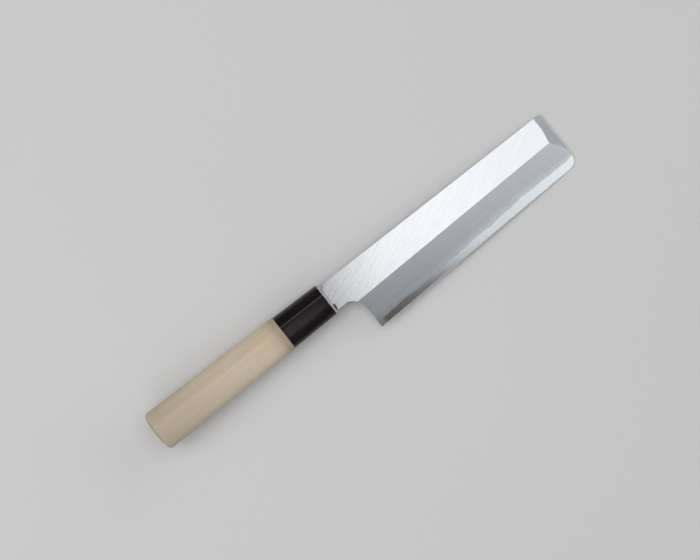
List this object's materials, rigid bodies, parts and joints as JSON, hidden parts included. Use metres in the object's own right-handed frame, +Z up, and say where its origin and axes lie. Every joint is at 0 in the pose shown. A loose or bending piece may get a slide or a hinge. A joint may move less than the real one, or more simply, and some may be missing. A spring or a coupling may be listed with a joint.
{
  "type": "usuba knife",
  "caption": "Square-tipped single-bevel vegetable knife: laminated blade with a hollow-ground back, black horn ferrule and pale wooden handle of D section.",
  "frame": {"origin": "below the middle of the knife's box, on the level that the handle lies on", "axes": "+X from the butt to the tip, +Y from the edge to the spine, +Z up, out of the bevelled face"},
  "size_m": [0.2934, 0.0456, 0.0203],
  "materials": {
    "soft_iron": "satin flat with fine slanting grinding lines, matt stone-finished bevel",
    "hard_steel": "bright polished edge band and hollow-ground back",
    "horn": "polished black horn",
    "wood": "bare, finely sanded pale wood"
  },
  "bodies": {
    "root": {"blade_cladding": "soft_iron", "edge_steel": "hard_steel", "horn_ferrule": "horn", "wooden_handle": "wood"}
  },
  "joints": []
}
